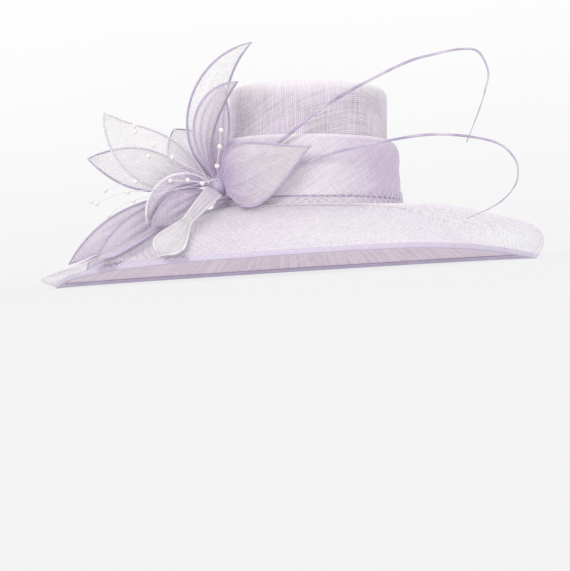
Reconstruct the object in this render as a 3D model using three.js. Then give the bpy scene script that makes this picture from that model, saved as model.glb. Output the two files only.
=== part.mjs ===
// A wide-brimmed church hat of stiffened open-weave straw, in millimetres, +Z up, face side towards -Y.
// The hat stands on the edge of its brim, whose sides and back lie on z = 0 while the front is lifted.
// Crown, band, flower, quills and stamens are laid out in the worn frame, which leans towards +X because
// the brim is deeper at the wearer's right; brim, edge binding and veil are laid out in the resting frame.
import * as THREE from "three";
import { mergeVertices } from "three/addons/utils/BufferGeometryUtils.js";

// Crown
const crownWidth = 168.6;
const crownDepth = 201;
const crownHeight = 124;
const crownWall = 1.6;
const crownShoulder = 9;
const crownDoming = 4;
const crownSides = 40;
const seatHeight = 71;
const wornLean = 3.6;

// Brim
const brimWall = 1.6;
const brimReachRight = 244;
const brimReachLeft = 270;
const brimReachFront = 250;
const brimReachBack = 262;
const brimFrontLift = 19;
const brimFullness = 0.19;
const brimSides = 56;
const brimRings = 5;

// Edge binding
const bindingHeight = 5.4;
const bindingWidth = 4;
const bindingFlat = 2.2;

// Hat band
const bandStand = 13.2;
const bandHeight = 69;
const bandDrop = 9;
const bandWall = 2;
const bandFoot = 17;
const bandFoldTuck = 15;
const bandRipple = 0.8;
const bandRipples = 9;

// Veil
const veilWall = 0.8;
const veilLift = 2.2;
const veilPuffRight = 29;
const veilPuffLeft = 8;
const veilBulgeRight = 8;
const veilBulgeLeft = 15;
const veilHemDrop = 4.5;
const veilSkirt = 0.14;
const veilSides = 40;

// Flower
const blossomTurn = 216;
const blossomRise = 17;
const knotWidth = 23;
const knotDepth = 40;
const petalReach = 160;
const petalWall = 1.1;
const pipingWidth = 2.2;
const petalTip = 0.7;
const petalClear = 3.2;
const petalSteps = 7;

// Quills
const upperQuillReach = 273;
const lowerQuillReach = 301;
const quillThickness = 3.4;
const quillTip = 0.9;
const quillStepsPerRow = 2;
const quillSides = 6;

// Stamens
const stamenReach = 120;
const wireThickness = 0.7;
const wireSides = 4;
const wireStepsPerPearl = 4;
const pearlWidth = 5;
const pearlBore = 2;
const pearlSides = 10;

const gap = 0.3;
const degree = Math.PI / 180;
const lean = wornLean * degree;

const straw = { color: 0xd5cade, roughness: 0.82, metalness: 0 };
const paleStraw = { color: 0xe6deeb, roughness: 0.8, metalness: 0 };
const bindingCloth = { color: 0x9c8cb4, roughness: 0.7, metalness: 0 };
const bandCloth = { color: 0xd9cce4, roughness: 0.75, metalness: 0 };
const veiling = { color: 0xece6f0, roughness: 0.6, metalness: 0 };
const petalCloth = { color: 0xd6c8e2, roughness: 0.78, metalness: 0 };
const quillHorn = { color: 0xc6bcd6, roughness: 0.45, metalness: 0 };
const pearlShell = { color: 0xf6f1ea, roughness: 0.25, metalness: 0 };
const stamenWire = { color: 0xe9e2ea, roughness: 0.4, metalness: 0 };

// Closed solids from rings of points

// A closed solid whose sections are closed outlines of equal point counts. The row of sections itself
// closes into a loop, or ends in two caps. An outline's second half runs back along its first, and the
// faces of both halves are split alike, so that a thin wall keeps its thickness where it twists.
function solidFromSections(sections, looped) {
  const count = sections[0].length;
  const half = count / 2;
  const points = sections.flat();
  const triangles = [];
  const pairs = looped ? sections.length : sections.length - 1;
  for (let i = 0; i < pairs; i++) {
    const here = i * count;
    const next = ((i + 1) % sections.length) * count;
    for (let j = 0; j < count; j++) {
      const k = (j + 1) % count;
      if (j < half) triangles.push(here + j, next + j, next + k, here + j, next + k, here + k);
      else triangles.push(here + j, next + j, here + k, next + j, next + k, here + k);
    }
  }
  if (!looped) {
    const last = (sections.length - 1) * count;
    for (let j = 0; j + 1 < half; j++) {
      const [a, b, c, d] = [j, j + 1, count - 2 - j, count - 1 - j];
      triangles.push(a, b, c, a, c, d);
      triangles.push(last + a, last + c, last + b, last + a, last + d, last + c);
    }
  }
  return solid(points, triangles);
}

// Geometry with its faces turned outwards, whichever way the sections ran.
function solid(points, triangles) {
  let volume = 0;
  for (let i = 0; i < triangles.length; i += 3) {
    const [a, b, c] = [0, 1, 2].map((n) => points[triangles[i + n]]);
    volume += a.dot(new THREE.Vector3().crossVectors(b, c));
  }
  const turned = [];
  for (let i = 0; i < triangles.length; i += 3) {
    const [a, b, c] = triangles.slice(i, i + 3);
    turned.push(...(volume < 0 ? [a, c, b] : [a, b, c]));
  }
  const geometry = new THREE.BufferGeometry();
  geometry.setAttribute(
    "position",
    new THREE.Float32BufferAttribute(points.flatMap((p) => [p.x, p.y, p.z]), 3),
  );
  geometry.setIndex(turned);
  return geometry;
}

function mesh(name, geometry, finish) {
  geometry.computeVertexNormals();
  const made = new THREE.Mesh(geometry, new THREE.MeshStandardMaterial(finish));
  made.name = name;
  return made;
}

// Value at `where` of a table of [place, value] rows, on a smooth curve that never leaves its rows' range.
function smooth(table, where) {
  const slope = (i) => {
    if (i < 0 || i + 1 >= table.length) return 0;
    return (table[i + 1][1] - table[i][1]) / (table[i + 1][0] - table[i][0]);
  };
  const tangent = (i) => {
    const [before, after] = [slope(i - 1), slope(i)];
    return before * after > 0 ? (2 * before * after) / (before + after) : 0;
  };
  let row = 0;
  while (row + 2 < table.length && where > table[row + 1][0]) row++;
  const [from, a] = table[row];
  const [to, b] = table[row + 1];
  const run = to - from;
  const s = THREE.MathUtils.clamp((where - from) / run, 0, 1);
  const blend = s * s * (3 - 2 * s);
  const leave = run * tangent(row) * s * (1 - s) ** 2;
  const arrive = run * tangent(row + 1) * s * s * (1 - s);
  return a + (b - a) * blend + leave - arrive;
}

// Worn frame and resting frame
const toRest = (p) => p.clone().applyAxisAngle(new THREE.Vector3(0, 1, 0), lean);
const toWorn = (p) => p.clone().applyAxisAngle(new THREE.Vector3(0, 1, 0), -lean);

// Crown: an upright oval wall with a rounded shoulder and a slightly domed top, open below.
// `out` is the distance from the outer face, outwards.
function crownRing(out, height) {
  return (angle) =>
    new THREE.Vector3(
      (crownWidth / 2 + out) * Math.cos(angle),
      (crownDepth / 2 + out) * Math.sin(angle),
      height,
    );
}

function crownGeometry() {
  const top = seatHeight + crownHeight;
  const shoulderSteps = 3;
  const outer = [crownRing(0, seatHeight), crownRing(0, seatHeight + crownHeight / 2)];
  const inner = [];
  for (const [rings, wall] of [[outer, 0], [inner, crownWall]]) {
    if (wall) {
      rings.push(crownRing(-wall, seatHeight), crownRing(-wall, seatHeight + crownHeight / 2));
    }
    for (let i = 0; i <= shoulderSteps; i++) {
      const turn = (i / shoulderSteps) * 90 * degree;
      const radius = crownShoulder - wall;
      rings.push(
        crownRing(
          -crownShoulder + radius * Math.cos(turn),
          top - crownShoulder + radius * Math.sin(turn),
        ),
      );
    }
    rings.push(crownRing(-crownWidth / 4 - wall, top + crownDoming * 0.75 - wall));
  }
  const rings = [...inner.slice().reverse(), ...outer];
  const points = [new THREE.Vector3(0, 0, top + crownDoming - crownWall)];
  const triangles = [];
  for (const ring of rings) {
    for (let i = 0; i < crownSides; i++) points.push(ring((i / crownSides) * 2 * Math.PI));
  }
  points.push(new THREE.Vector3(0, 0, top + crownDoming));
  const last = points.length - 1;
  for (let i = 0; i < crownSides; i++) {
    const k = (i + 1) % crownSides;
    triangles.push(0, 1 + k, 1 + i);
    for (let r = 0; r + 1 < rings.length; r++) {
      const here = 1 + r * crownSides;
      const next = here + crownSides;
      triangles.push(here + i, here + k, next + k, here + i, next + k, next + i);
    }
    triangles.push(last, last - crownSides + i, last - crownSides + k);
  }
  return solid(points, triangles);
}

// Rim: the plan outline of the brim's edge, and how far its underside is lifted off z = 0.
// Degrees run from the left side of the brim through the front to the right side.
const rimLift = [
  [0, 0],
  [10, 0],
  [30, 0.46],
  [52, 0.82],
  [70, 0.96],
  [98, 1],
  [112, 0.97],
  [126, 0.8],
  [140, 0.48],
  [156, 0.12],
  [166, 0],
  [180, 0],
];

function rimPoint(angle, inset, height) {
  const x = Math.cos(angle);
  const y = Math.sin(angle);
  const middleX = (brimReachRight - brimReachLeft) / 2;
  const middleY = (brimReachBack - brimReachFront) / 2;
  const halfX = (brimReachRight + brimReachLeft) / 2 - inset;
  const halfY = (brimReachBack + brimReachFront) / 2 - inset;
  return new THREE.Vector3(middleX + halfX * x, middleY + halfY * y, rimRise(angle) + height);
}

function rimRise(angle) {
  const forward = Math.atan2(-Math.sin(angle), -Math.cos(angle)) / degree;
  return forward > 0 ? brimFrontLift * smooth(rimLift, forward) : 0;
}

// A point of the brim's middle surface: share 0 at the crown, 1 at the binding, past 1 beyond it.
function brimPoint(angle, share) {
  const seat = toRest(crownRing(gap, seatHeight)(angle));
  const rim = rimPoint(angle, bindingWidth + gap, bindingHeight / 2);
  const point = seat.clone().lerp(rim, share);
  point.z += (seat.z - rim.z) * brimFullness * share * (1 - share);
  return point;
}

function brimNormal(angle, share) {
  const step = 0.01;
  const along = brimPoint(angle, share + step).sub(brimPoint(angle, share - step));
  const round = brimPoint(angle + step, share).sub(brimPoint(angle - step, share));
  return along.cross(round).normalize();
}

function shellOverBrim(sides, rings, place) {
  const sections = [];
  for (let i = 0; i < sides; i++) {
    const angle = (i / sides) * 2 * Math.PI;
    const upper = [];
    const lower = [];
    for (let r = 0; r <= rings; r++) {
      upper.push(place(angle, r / rings, 1));
      lower.unshift(place(angle, r / rings, -1));
    }
    sections.push([...upper, ...lower]);
  }
  return solidFromSections(sections, true);
}

function brimGeometry() {
  return shellOverBrim(brimSides, brimRings, (angle, share, side) => {
    const level = side * (brimWall / 2);
    const point = brimPoint(angle, share);
    return share === 0 || share === 1
      ? point.setZ(point.z + level)
      : point.addScaledVector(brimNormal(angle, share), level);
  });
}

// Binding: a folded strip round the rim, with a narrow flat underside.
function bindingGeometry() {
  const flat = (bindingWidth - bindingFlat) / 2;
  const outline = [
    { inset: flat, height: 0 },
    { inset: 0.2, height: bindingHeight * 0.3 },
    { inset: 0.2, height: bindingHeight * 0.7 },
    { inset: flat, height: bindingHeight },
    { inset: bindingWidth - flat / 2, height: bindingHeight },
    { inset: bindingWidth, height: bindingHeight / 2 },
    { inset: bindingWidth - flat, height: 0 },
  ];
  const sections = [];
  for (let i = 0; i < brimSides; i++) {
    const angle = (i / brimSides) * 2 * Math.PI;
    sections.push(outline.map((row) => rimPoint(angle, row.inset, row.height)));
  }
  return solidFromSections(sections, true);
}

// Veil: netting laid over the brim, puffed up at both sides and turned down outside the edge binding.
// Rows run from the band outwards: share is the place across the brim, puff the share of the side's puff.
const veilRows = [
  { share: 0.16, puff: 0.2 },
  { share: 0.36, puff: 0.55 },
  { share: 0.56, puff: 0.7 },
  { share: 0.76, puff: 0.85 },
  { share: 0.92, puff: 0.95 },
];

const rightward = (angle) => Math.max(0, Math.cos(angle)) ** 3;
const leftward = (angle) => Math.max(0, -Math.cos(angle)) ** 4;

const sidePuff = (angle) => veilPuffRight * rightward(angle) + veilPuffLeft * leftward(angle);

// The veil's middle line at one angle, from the band over the brim and down outside the binding.
function veilLine(angle) {
  const puff = sidePuff(angle);
  const bulge = veilBulgeRight * rightward(angle) + veilBulgeLeft * leftward(angle);
  const line = veilRows.map((row) => {
    const lift = brimWall + veilLift + puff * row.puff;
    return brimPoint(angle, row.share).addScaledVector(brimNormal(angle, row.share), lift);
  });
  line.push(rimPoint(angle, -2 * gap - bulge, bindingHeight + veilLift * 0.5 + puff / 2));
  line.push(rimPoint(angle, -3 * gap - veilWall / 2, bindingHeight - veilHemDrop * 0.7));
  return line;
}

function veilGeometry() {
  const sections = [];
  const sharpest = 0.35;
  for (let i = 0; i < veilSides; i++) {
    const angle = (i / veilSides) * 2 * Math.PI;
    const line = veilLine(angle);
    const out = rimPoint(angle, -1, 0).sub(rimPoint(angle, 0, 0)).normalize();
    const square = line.slice(1).map((point, n) => {
      const run = point.clone().sub(line[n]);
      return new THREE.Vector2(-run.z, run.dot(out)).normalize();
    });
    const sides = line.map((_, n) => {
      const before = square[Math.max(n - 1, 0)];
      const face = before.clone().add(square[Math.min(n, square.length - 1)]).normalize();
      const reach = veilWall / 2 / Math.max(face.dot(before), sharpest);
      return out.clone().multiplyScalar(face.x * reach).setZ(face.y * reach);
    });
    sections.push([
      ...line.map((point, n) => point.clone().add(sides[n])),
      ...line.map((point, n) => point.clone().sub(sides[n])).reverse(),
    ]);
  }
  return solidFromSections(sections, true);
}

// Height of the veil's upper face below or above a point of the resting frame, or none beyond the brim.
function veilHeight(point) {
  let low = Math.atan2(point.y, point.x) - 0.5;
  let high = low + 1;
  let angle = low;
  let share = 0;
  for (let i = 0; i < 24; i++) {
    angle = (low + high) / 2;
    const seat = brimPoint(angle, 0);
    const rim = brimPoint(angle, 1);
    const [runX, runY] = [rim.x - seat.x, rim.y - seat.y];
    const [x, y] = [point.x - seat.x, point.y - seat.y];
    share = (x * runX + y * runY) / (runX * runX + runY * runY);
    if (runX * y - runY * x > 0) low = angle;
    else high = angle;
  }
  if (share < veilRows[0].share || share > 1 + veilSkirt) return -Infinity;
  share = Math.min(share, 1);
  const puffs = veilRows.map((row) => [row.share, row.puff]);
  const lift = brimWall + veilLift + sidePuff(angle) * smooth(puffs, share) + veilWall / 2;
  return brimPoint(angle, share).z + lift / Math.abs(brimNormal(angle, share).z);
}

// Hat band: a soft strip stood off the crown, folded in at the top and spread at the foot.
function bandGeometry() {
  const wall = bandWall;
  const outline = [
    { out: bandFoot, rise: 0 },
    { out: bandStand + 1, rise: 0.15 },
    { out: bandStand - 0.5, rise: 0.42 },
    { out: bandStand, rise: 0.72 },
    { out: bandStand * 0.86, rise: 0.9 },
    { out: bandStand * 0.5, rise: 0.99 },
    { out: gap + wall, rise: 0.97 },
    { out: gap, rise: 0.93 },
    { out: gap, rise: 0.93 - bandFoldTuck / bandHeight },
    { out: gap + wall, rise: 0.93 - bandFoldTuck / bandHeight },
    { out: gap + wall * 1.2, rise: 0.92 },
    { out: bandStand * 0.5, rise: 0.99 - wall / bandHeight },
    { out: bandStand * 0.86 - wall * 0.8, rise: 0.9 - (wall * 0.6) / bandHeight },
    { out: bandStand - wall, rise: 0.71 },
    { out: bandStand - 0.5 - wall, rise: 0.42 },
    { out: bandStand + 1 - wall, rise: 0.16 },
    { out: bandFoot - wall, rise: 0 },
  ];
  const sections = [];
  for (let i = 0; i < crownSides; i++) {
    const angle = (i / crownSides) * 2 * Math.PI;
    const dip = bandDrop * (1 + Math.sin(angle)) ** 2 * 0.4;
    sections.push(
      outline.map((row) => {
        const free = Math.sin(Math.PI * row.rise) * (row.out > gap + wall * 1.3 ? 1 : 0);
        const ripple = bandRipple * free * Math.sin(bandRipples * angle + row.rise * 6);
        const point = crownRing(row.out + ripple, 0)(angle);
        const foot = bandFootHeight(angle, row.out);
        point.z = foot + (seatHeight + bandHeight - dip - foot) * row.rise;
        return point;
      }),
    );
  }
  return solidFromSections(sections, true);
}

// Height in the worn frame at which something clears the brim's upper face, `out` from the crown.
function bandFootHeight(angle, out) {
  const seat = crownRing(0, seatHeight)(angle);
  const rim = toWorn(rimPoint(angle, 0, 0));
  const run = Math.hypot(rim.x - seat.x, rim.y - seat.y);
  const under = toWorn(brimPoint(angle, out / run));
  return under.z + brimWall / 2 + 2 * gap;
}

// Flower: a straw knot, long from front to back and seated on the band, and the blades round it.
const blossom = (() => {
  const turn = blossomTurn * degree;
  const on = crownRing(bandStand + 1, seatHeight + blossomRise)(turn);
  const off = new THREE.Vector3(Math.cos(turn) / crownWidth, Math.sin(turn) / crownDepth, 0);
  off.normalize();
  const reach = Math.hypot((off.x * knotWidth) / 2, (off.y * knotDepth) / 2);
  return on.addScaledVector(off, reach + bandRipple + gap);
})();

// A point just off the knot: turn is seen from the front, layer is the share of its half depth.
function onKnot(turn, layer, clear) {
  const radius = (knotWidth / 2) * Math.sqrt(1 - layer * layer) + clear;
  return new THREE.Vector3(
    blossom.x + radius * Math.cos(turn * degree),
    blossom.y - (layer * knotDepth) / 2,
    blossom.z + radius * Math.sin(turn * degree),
  );
}

function knotGeometry() {
  const ball = new THREE.SphereGeometry(knotWidth / 2, 14, 9);
  ball.scale(1, knotDepth / knotWidth, 1);
  ball.translate(blossom.x, blossom.y, blossom.z);
  return closed(ball);
}

// A library shape with its seam and poles closed.
function closed(geometry) {
  geometry.deleteAttribute("normal");
  geometry.deleteAttribute("uv");
  return mergeVertices(geometry, 1e-4);
}

// Petals and leaves: thin blades with a piped edge, each swept from its root on the knot.
// Length and width are shares of the flower's reach.
// Angles are in degrees. Heading is seen from the front, 0 to the right and 90 up; forward is towards
// the viewer. Bend and curl are how much these two change to the tip, and late is the power by which
// the bend comes late. Roll and twist turn the blade about its midline, cup is the depth of its hollow
// as a share of its half width, belly is where it is widest and neck its root's share of its width.
// Point is the power that draws its ends in: low for full ends, high for narrow ones.
// Layer is the root's place on the knot, as a share of the knot's half depth towards the front.
const petals = [
  { name: "petal_tall", length: 0.963, width: 0.25, heading: 108, bend: -80, late: 1.3, forward: 0, curl: 4,
    roll: 8, twist: 10, cup: 0.25, belly: 0.38, neck: 0.12, layer: -0.2, point: 0.85 },
  { name: "petal_upright", length: 0.688, width: 0.188, heading: 111, bend: -86, late: 1.3, forward: 14,
    curl: 2, roll: 46, twist: -10, cup: 0.3, belly: 0.55, neck: 0.17, layer: 0.5, point: 0.85 },
  { name: "petal_inner", length: 0.575, width: 0.2, heading: 98, bend: -26, late: 1, forward: 2, curl: 0,
    roll: 10, twist: 0, cup: 0.25, belly: 0.5, neck: 0.15, layer: 0.1, point: 0.85 },
  { name: "petal_back", length: 0.425, width: 0.287, heading: 132, bend: -10, late: 1, forward: -8, curl: 0,
    roll: 0, twist: 0, cup: 0.2, belly: 0.6, neck: 0.12, layer: -0.6, point: 0.85 },
  { name: "petal_large_left", length: 0.8, width: 0.35, heading: 159, bend: -40, late: 2, forward: 6,
    curl: 6, roll: 4, twist: 0, cup: 0.25, belly: 0.45, neck: 0.1, layer: 0.3, point: 0.85 },
  { name: "petal_low_left", length: 0.787, width: 0.275, heading: 166, bend: 4, late: 1, forward: -2,
    curl: 0, roll: 0, twist: 0, cup: 0.2, belly: 0.55, neck: 0.12, layer: -0.15, point: 0.85 },
  { name: "petal_curled", length: 0.556, width: 0.163, heading: 170, bend: 90, late: 1, forward: 30,
    curl: -8, roll: -25, twist: 0, cup: 0.5, belly: 0.45, neck: 0.2, layer: 0.7, point: 0.85 },
  { name: "petal_tongue", length: 0.99, width: 0.2, heading: 233, bend: 10, late: 1.5, forward: 56,
    curl: 6, roll: 10, twist: 0, cup: 0.3, belly: 0.76, neck: 0.6, layer: 0.93, point: 1.4 },
  { name: "petal_wide_right", length: 0.656, width: 0.412, heading: 18, bend: 8, late: 1, forward: 42,
    curl: -40, roll: 0, twist: 0, cup: -0.12, belly: 0.3, neck: 0.4, layer: 0.84, point: 1.1 },
  { name: "leaf_outer", length: 1.006, width: 0.188, heading: 199, bend: 24, late: 1.4, forward: 10,
    curl: 0, roll: 0, twist: 0, cup: 0.2, belly: 0.55, neck: 0.17, layer: -0.1, point: 0.85 },
  { name: "leaf_inner", length: 0.945, width: 0.188, heading: 204, bend: 30, late: 1.4, forward: 25,
    curl: 0, roll: 0, twist: 0, cup: 0.2, belly: 0.55, neck: 0.17, layer: 0.3, point: 0.85 },
  { name: "leaf_pleated", length: 0.525, width: 0.188, heading: 210, bend: 8, late: 1, forward: 38,
    curl: 0, roll: 0, twist: 0, cup: 0.2, belly: 0.5, neck: 0.17, layer: 0.7, point: 0.85 },
];

function halfWidth(petal, share) {
  const power = Math.log(0.5) / Math.log(petal.belly);
  const swell = Math.max(Math.sin(Math.PI * share ** power), 0) ** petal.point;
  const half = (petal.width * petalReach) / 2;
  return Math.max(half * Math.max(swell, petal.neck * (1 - share)), petalTip);
}

function petalGeometry(petal) {
  const rows = [];
  const at = onKnot(petal.heading, petal.layer, 2 * gap);
  const fine = 6;
  for (let i = 0; i <= petalSteps * fine; i++) {
    const share = i / (petalSteps * fine);
    const heading = (petal.heading + petal.bend * share ** petal.late) * degree;
    const forward = (petal.forward + petal.curl * share) * degree;
    const along = new THREE.Vector3(
      Math.cos(forward) * Math.cos(heading),
      -Math.sin(forward),
      Math.cos(forward) * Math.sin(heading),
    );
    if (i % fine === 0) {
      const across = new THREE.Vector3(-Math.sin(heading), 0, Math.cos(heading));
      across.applyAxisAngle(along, (petal.roll + petal.twist * share) * degree);
      const face = new THREE.Vector3().crossVectors(across, along);
      rows.push(petalRow(at, across, face, halfWidth(petal, share), petal.cup));
    }
    at.addScaledVector(along, (petal.length * petalReach) / (petalSteps * fine));
  }
  return solidFromSections(rows.map((row, i) => petalSection(rows, i)), false);
}

// The blade's middle surface at one place along it: a point and a thickness for each column.
function petalRow(at, across, face, half, cup) {
  const edge = Math.min(pipingWidth / half, 0.5);
  const piping = Math.min(pipingWidth, half);
  const columns = [
    { side: -1, thick: piping * 0.45 },
    { side: -1 + edge / 2, thick: piping },
    { side: -1 + edge, thick: petalWall },
    { side: 0, thick: petalWall },
    { side: 1 - edge, thick: petalWall },
    { side: 1 - edge / 2, thick: piping },
    { side: 1, thick: piping * 0.45 },
  ];
  return columns.map((column) => {
    const point = at.clone().addScaledVector(across, half * column.side);
    point.addScaledVector(face, half * cup * column.side ** 2);
    return { point: laidOnVeil(point), thick: column.thick };
  });
}

// A blade that reaches the veil comes forward over it, down the slope of the brim.
function laidOnVeil(point) {
  const rest = toRest(point);
  const sunk = (back) => {
    const moved = rest.clone().setY(rest.y - back);
    return veilHeight(moved) + petalClear > moved.z;
  };
  if (!sunk(0)) return point;
  const reach = brimReachFront / 2;
  let [near, far] = [0, 0];
  while (far < reach && sunk(far)) far += reach / 32;
  near = far - reach / 32;
  for (let i = 0; i < 10; i++) {
    const middle = (near + far) / 2;
    if (sunk(middle)) near = middle;
    else far = middle;
  }
  return toWorn(rest.setY(rest.y - far));
}

// One closed section of a blade, its thickness set off square to the middle surface.
function petalSection(rows, i) {
  const faces = rows[i].map((column, j) => {
    const [before, after] = [rows[Math.max(i - 1, 0)], rows[Math.min(i + 1, rows.length - 1)]];
    const along = after[j].point.clone().sub(before[j].point);
    const left = rows[i][Math.max(j - 1, 0)].point;
    const across = rows[i][Math.min(j + 1, rows[i].length - 1)].point.clone().sub(left);
    return across.cross(along).normalize().multiplyScalar(column.thick / 2);
  });
  return [
    ...rows[i].map((column, j) => column.point.clone().add(faces[j])),
    ...rows[i].map((column, j) => column.point.clone().sub(faces[j])).reverse(),
  ];
}

// Quills: stripped quills that arch to the wearer's left and hook back at their thin ends.
// Rows are shares of the quill's reach, from the knot's middle: across to the right, up and forward.
const quills = [
  {
    name: "quill_upper",
    reach: upperQuillReach,
    rows: [
      { across: 0.0285, up: 0.0168, forward: 0.05 },
      { across: 0.14, up: 0.096, forward: 0.118 },
      { across: 0.235, up: 0.16, forward: 0.148 },
      { across: 0.414, up: 0.298, forward: 0.165 },
      { across: 0.666, up: 0.434, forward: 0.155 },
      { across: 0.797, up: 0.476, forward: 0.15 },
      { across: 0.893, up: 0.494, forward: 0.145 },
      { across: 0.955, up: 0.484, forward: 0.14 },
      { across: 0.99, up: 0.414, forward: 0.14 },
      { across: 0.981, up: 0.352, forward: 0.14 },
      { across: 0.958, up: 0.275, forward: 0.14 },
      { across: 0.912, up: 0.156, forward: 0.14 },
    ],
  },
  {
    name: "quill_lower",
    reach: lowerQuillReach,
    rows: [
      { across: 0.033, up: 0, forward: 0.045 },
      { across: 0.125, up: 0.012, forward: 0.102 },
      { across: 0.19, up: 0.031, forward: 0.126 },
      { across: 0.381, up: 0.103, forward: 0.15 },
      { across: 0.612, up: 0.153, forward: 0.15 },
      { across: 0.729, up: 0.165, forward: 0.15 },
      { across: 0.841, up: 0.157, forward: 0.15 },
      { across: 0.929, up: 0.135, forward: 0.15 },
      { across: 0.976, up: 0.095, forward: 0.15 },
      { across: 0.994, up: 0.051, forward: 0.15 },
      { across: 0.983, up: -0.005, forward: 0.15 },
      { across: 0.928, up: -0.063, forward: 0.15 },
      { across: 0.825, up: -0.112, forward: 0.17 },
    ],
  },
];

// A curve through rows of shares of one reach, measured from the knot's middle.
function curveFromKnot(rows, reach) {
  const points = rows.map(
    (row) =>
      new THREE.Vector3(
        blossom.x + row.across * reach,
        blossom.y - row.forward * reach,
        blossom.z + row.up * reach,
      ),
  );
  return new THREE.CatmullRomCurve3(points, false, "centripetal");
}

// A round bar along a curve, with its own rule for its thickness. Its sections meet the curve's rows.
function taperedBar(curve, steps, sides, thicknessAt) {
  const sections = [];
  const normal = new THREE.Vector3(0, 1, 0);
  for (let i = 0; i <= steps; i++) {
    const middle = curve.getPoint(i / steps);
    const along = curve.getTangent(i / steps);
    normal.addScaledVector(along, -normal.dot(along)).normalize();
    const second = new THREE.Vector3().crossVectors(along, normal);
    const radius = thicknessAt(i / steps) / 2;
    const section = [];
    for (let j = 0; j < sides; j++) {
      const turn = (j / sides) * 2 * Math.PI;
      section.push(
        middle
          .clone()
          .addScaledVector(normal, radius * Math.cos(turn))
          .addScaledVector(second, radius * Math.sin(turn)),
      );
    }
    sections.push(section);
  }
  return solidFromSections(sections, false);
}

function quillGeometry(quill) {
  const curve = curveFromKnot(quill.rows, quill.reach);
  const taper = (share) => quillThickness + (quillTip - quillThickness) * share ** 1.6;
  return taperedBar(curve, quillStepsPerRow * (quill.rows.length - 1), quillSides, taper);
}

// Stamens: fine wires with drilled pearls threaded on them and a pearl at each end.
// Turn is the wire's root on the front of the knot, seen from the front in degrees. The pearls' places
// are shares of the stamens' reach from the knot's middle: to the right, and up.
const stamens = [
  { name: "up", turn: 80, forward: 0.32, pearls: [[0.003, 0.157], [0.025, 0.318], [0.038, 0.454]] },
  { name: "cup", turn: 168, forward: 0.31, pearls: [[-0.12, 0.012], [-0.24, 0.039], [-0.384, 0.034]] },
  { name: "high", turn: 128, forward: 0.36, pearls: [[-0.565, 0.233], [-0.674, 0.437], [-0.676, 0.486]] },
  { name: "short", turn: 119, forward: 0.3, pearls: [[-0.37, 0.231], [-0.527, 0.332]] },
  { name: "left", turn: 138, forward: 0.38, pearls: [[-0.67, 0.022], [-0.92, -0.048]] },
  { name: "long", turn: 186, forward: 0.43, pearls: [[-0.724, -0.065], [-0.981, -0.158], [-1.028, -0.14]] },
  { name: "low", turn: 106, forward: 0.48, pearls: [[-0.676, -0.138], [-0.88, -0.26]] },
];
const stamenRing = 0.85;

const stamenPlaces = (stamen) =>
  stamen.pearls.map(
    ([across, up]) =>
      new THREE.Vector3(
        blossom.x + across * stamenReach,
        blossom.y - stamen.forward * stamenReach,
        blossom.z + up * stamenReach,
      ),
  );

// The wire runs from the knot through the pearls' bores to just short of the last pearl.
function stamenCurve(stamen) {
  const places = stamenPlaces(stamen);
  const start = onKnot(stamen.turn, stamenRing, 2 * gap);
  const last = places.at(-1);
  const back = (places.at(-2) ?? start).clone().sub(last).normalize();
  const end = last.clone().addScaledVector(back, pearlWidth / 2 + gap);
  return new THREE.CatmullRomCurve3([start, ...places.slice(0, -1), end], false, "centripetal");
}

function wireGeometry(stamen) {
  const steps = wireStepsPerPearl * stamen.pearls.length;
  return taperedBar(stamenCurve(stamen), steps, wireSides, () => wireThickness);
}

// A pearl has a bore right through it where the wire runs on, and the last pearl has none.
function pearlGeometry(place, along, drilled) {
  const outline = [];
  const radius = pearlWidth / 2;
  const start = drilled ? Math.asin(pearlBore / pearlWidth) : 0;
  const rings = 5;
  for (let i = 0; i <= rings; i++) {
    const turn = start + (i / rings) * (Math.PI - 2 * start);
    const pole = !drilled && (i === 0 || i === rings);
    outline.push(new THREE.Vector2(pole ? 0 : radius * Math.sin(turn), -radius * Math.cos(turn)));
  }
  if (drilled) outline.push(outline[0].clone());
  const bead = closed(new THREE.LatheGeometry(outline, pearlSides));
  const turned = new THREE.Quaternion().setFromUnitVectors(new THREE.Vector3(0, 1, 0), along);
  return bead.applyQuaternion(turned).translate(place.x, place.y, place.z);
}

// Assembly
const resting = new THREE.Group();
const worn = new THREE.Group();
worn.rotation.y = lean;
resting.add(worn);

worn.add(mesh("crown", crownGeometry(), straw));
worn.add(mesh("hat_band", bandGeometry(), bandCloth));
resting.add(mesh("brim", brimGeometry(), paleStraw));
resting.add(mesh("brim_binding", bindingGeometry(), bindingCloth));
resting.add(mesh("net_veil", veilGeometry(), veiling));
worn.add(mesh("flower_knot", knotGeometry(), petalCloth));
for (const petal of petals) worn.add(mesh(petal.name, petalGeometry(petal), petalCloth));
for (const quill of quills) worn.add(mesh(quill.name, quillGeometry(quill), quillHorn));
for (const stamen of stamens) {
  worn.add(mesh("stamen_wire_" + stamen.name, wireGeometry(stamen), stamenWire));
  const curve = stamenCurve(stamen);
  const places = stamenPlaces(stamen);
  places.forEach((place, i) => {
    const along = curve.getTangent((i + 1) / places.length);
    const drilled = i + 1 < places.length;
    const name = "pearl_" + stamen.name + "_" + (i + 1);
    worn.add(mesh(name, pearlGeometry(place, along, drilled), pearlShell));
  });
}

// The origin goes to the bottom centre of the whole hat.
const hat = new THREE.Group();
hat.add(resting);
hat.updateMatrixWorld(true);
const box = new THREE.Box3().setFromObject(hat, true);
resting.position.set(-(box.min.x + box.max.x) / 2, -(box.min.y + box.max.y) / 2, -box.min.z);

export default hat;
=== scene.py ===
from math import atan2, cos, degrees, exp, hypot, log, pi, radians, sin, sqrt, tan
import bpy
from mathutils import Matrix, Vector


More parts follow.
